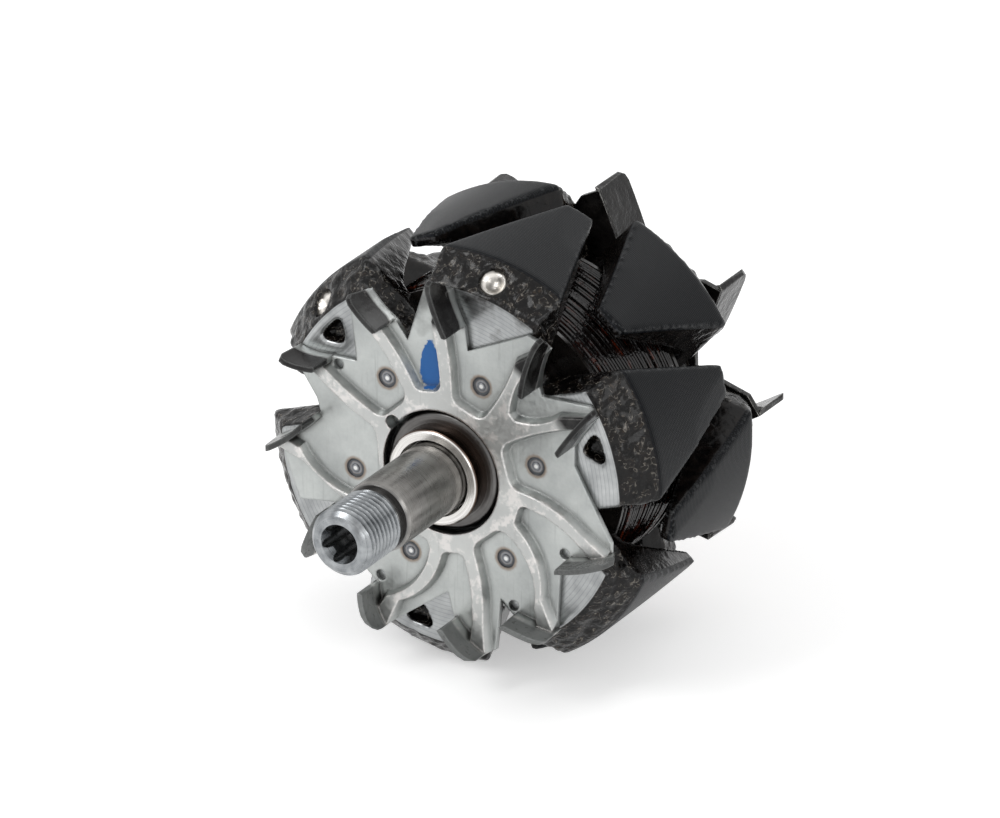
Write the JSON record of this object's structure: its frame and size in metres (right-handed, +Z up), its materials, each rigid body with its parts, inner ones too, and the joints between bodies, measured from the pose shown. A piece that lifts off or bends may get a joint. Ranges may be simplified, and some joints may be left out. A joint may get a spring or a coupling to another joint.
{
  "type": "alternator rotor",
  "caption": "Claw pole rotor of a vehicle alternator: shaft, interlocking pole claws round a field winding, bladed fans at both ends and slip rings.",
  "frame": {"origin": "on the shaft axis, in the middle of the front bearing's seat", "axes": "Y along the shaft with the threaded drive end towards -Y and the slip rings towards +Y; Z up; X to the right seen from the drive end"},
  "size_m": [0.102, 0.1498, 0.102],
  "materials": {
    "shaft_steel": "ground steel, finely turned",
    "front_pole_iron": "forged iron under glossy black impregnating varnish, turned bare on the face",
    "rear_pole_iron": "forged iron under glossy black impregnating varnish, turned bare on the face",
    "core_iron": "machined iron, varnished",
    "bobbin_plastic": "moulded nylon, varnished",
    "winding_copper": "enamelled copper wire under dark varnish",
    "front_fan_steel": "pressed bare steel sheet, satin",
    "rear_fan_steel": "pressed steel sheet with black varnish",
    "spacer_steel": "machined steel, heat-tinted side",
    "ring_copper": "polished copper",
    "slip_plastic": "moulded thermoset, matt",
    "bar_copper": "bare copper",
    "lead_enamel": "enamelled copper wire",
    "sleeve_weave": "varnished woven glass sleeve"
  },
  "bodies": {
    "root": {"shaft": "shaft_steel", "front_pole": "front_pole_iron", "rear_pole": "rear_pole_iron", "pole_core": "core_iron", "bobbin": "bobbin_plastic", "field_winding": "winding_copper", "front_fan": "front_fan_steel", "rear_fan": "rear_fan_steel", "front_spacer_ring": "spacer_steel", "rear_spacer_ring": "spacer_steel", "slip_ring_inner": "ring_copper", "slip_ring_outer": "ring_copper", "slip_ring_body": "slip_plastic", "slip_bar_a": "bar_copper", "slip_bar_b": "bar_copper", "terminal_a": "bar_copper", "terminal_b": "bar_copper", "lead_a": "lead_enamel", "lead_b": "lead_enamel", "lead_sleeve_a": "sleeve_weave", "lead_sleeve_b": "sleeve_weave"}
  },
  "joints": []
}
